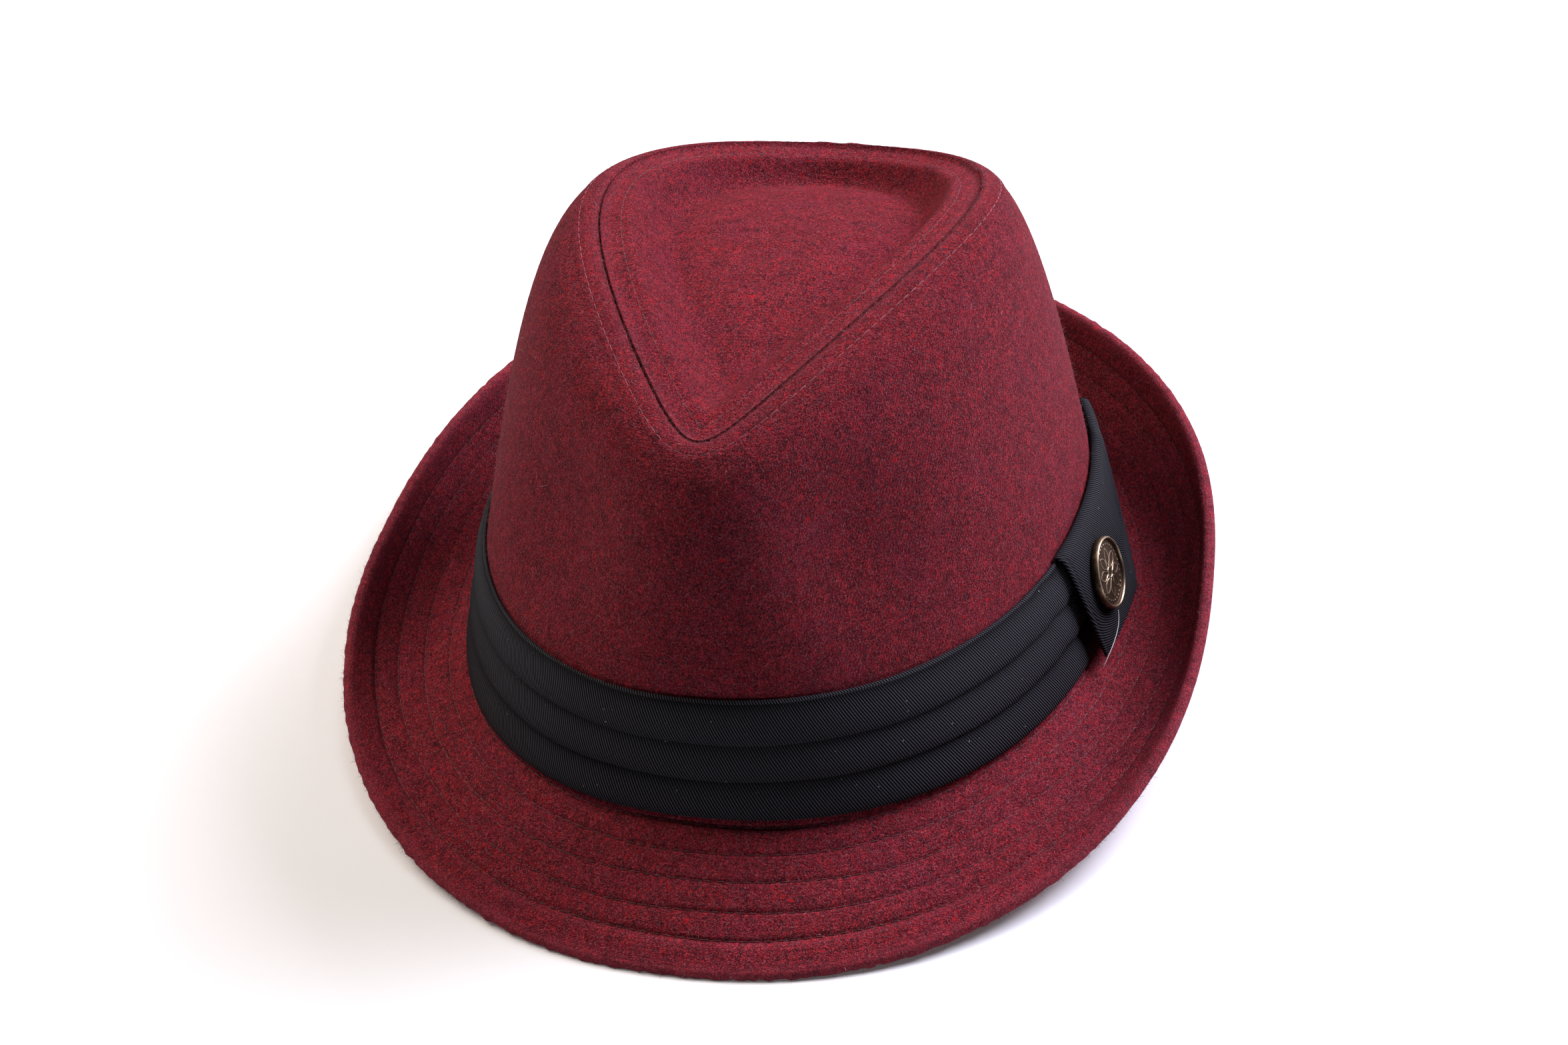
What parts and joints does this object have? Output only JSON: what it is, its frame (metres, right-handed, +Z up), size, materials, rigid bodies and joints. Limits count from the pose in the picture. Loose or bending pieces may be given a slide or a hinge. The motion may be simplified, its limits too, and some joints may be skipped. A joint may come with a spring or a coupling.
{
  "type": "fedora hat",
  "caption": "Short-brimmed felt fedora with a teardrop crown, a pleated twill band, a lapped tab and a round metal button; the brim dips in front and turns up at the sides and back.",
  "frame": {"origin": "middle of the hat's bounding box, on the surface that the hat stands on", "axes": "+Z up, -Y towards the front of the hat, +X towards the wearer's left, where the tab and the button are"},
  "size_m": [0.231, 0.2642, 0.1187],
  "materials": {
    "wall_felt": "heathered burgundy wool felt with a short fuzzy nap",
    "tip_felt": "heathered burgundy wool felt with a short fuzzy nap",
    "brim_felt": "heathered burgundy wool felt, sewn in rows",
    "band_twill": "black polyester twill, pleated",
    "tab_twill": "black polyester twill, smooth",
    "bronze": "aged bronze with a rubbed bright rim"
  },
  "bodies": {
    "root": {"crown_wall": "wall_felt", "crown_tip": "tip_felt", "brim": "brim_felt", "hat_band": "band_twill", "band_tab": "tab_twill", "button": "bronze"}
  },
  "joints": []
}
